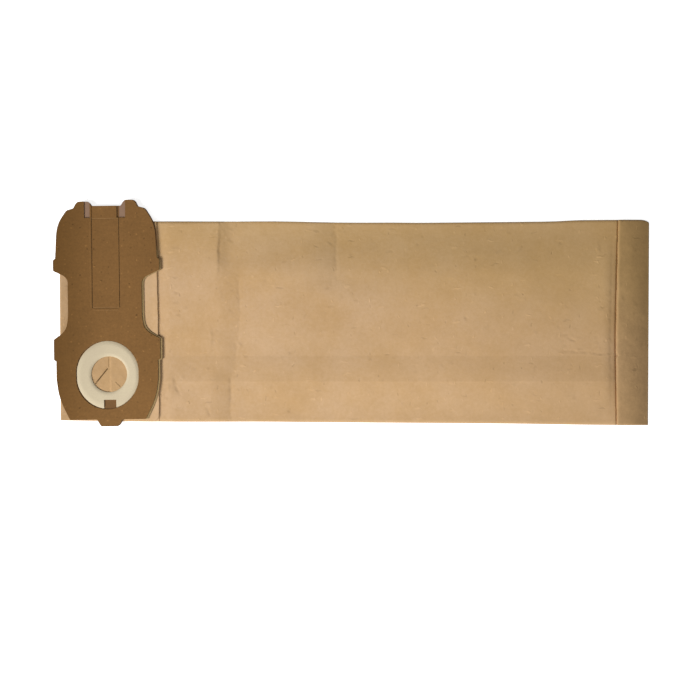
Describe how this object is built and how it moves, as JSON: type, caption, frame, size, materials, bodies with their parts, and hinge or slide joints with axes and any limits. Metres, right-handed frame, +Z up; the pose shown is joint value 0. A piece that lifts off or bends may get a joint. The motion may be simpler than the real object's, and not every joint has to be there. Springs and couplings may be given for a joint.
{
  "type": "vacuum cleaner dust bag",
  "caption": "Long flat paper dust bag for an upright vacuum cleaner, with a die-cut card collar, a round sealing ring and a star-cut paper inlet.",
  "frame": {"origin": "on the table under the middle of the part's bounding box", "axes": "+X along the bag from the collar to the closing band, +Y across the bag towards the collar's tongue end, +Z up, the collar's face"},
  "size_m": [0.5006, 0.1906, 0.0069],
  "materials": {
    "kraft_paper": "thin unbleached filter paper, matt, lightly creased",
    "grey_card": "grey-brown board, matt",
    "brown_card": "brown board, matt, die-cut edges",
    "soft_seal": "off-white soft seal, matt"
  },
  "bodies": {
    "root": {"filter_bag": "kraft_paper", "back_card": "grey_card", "front_card": "brown_card", "seal_ring": "soft_seal"}
  },
  "joints": []
}
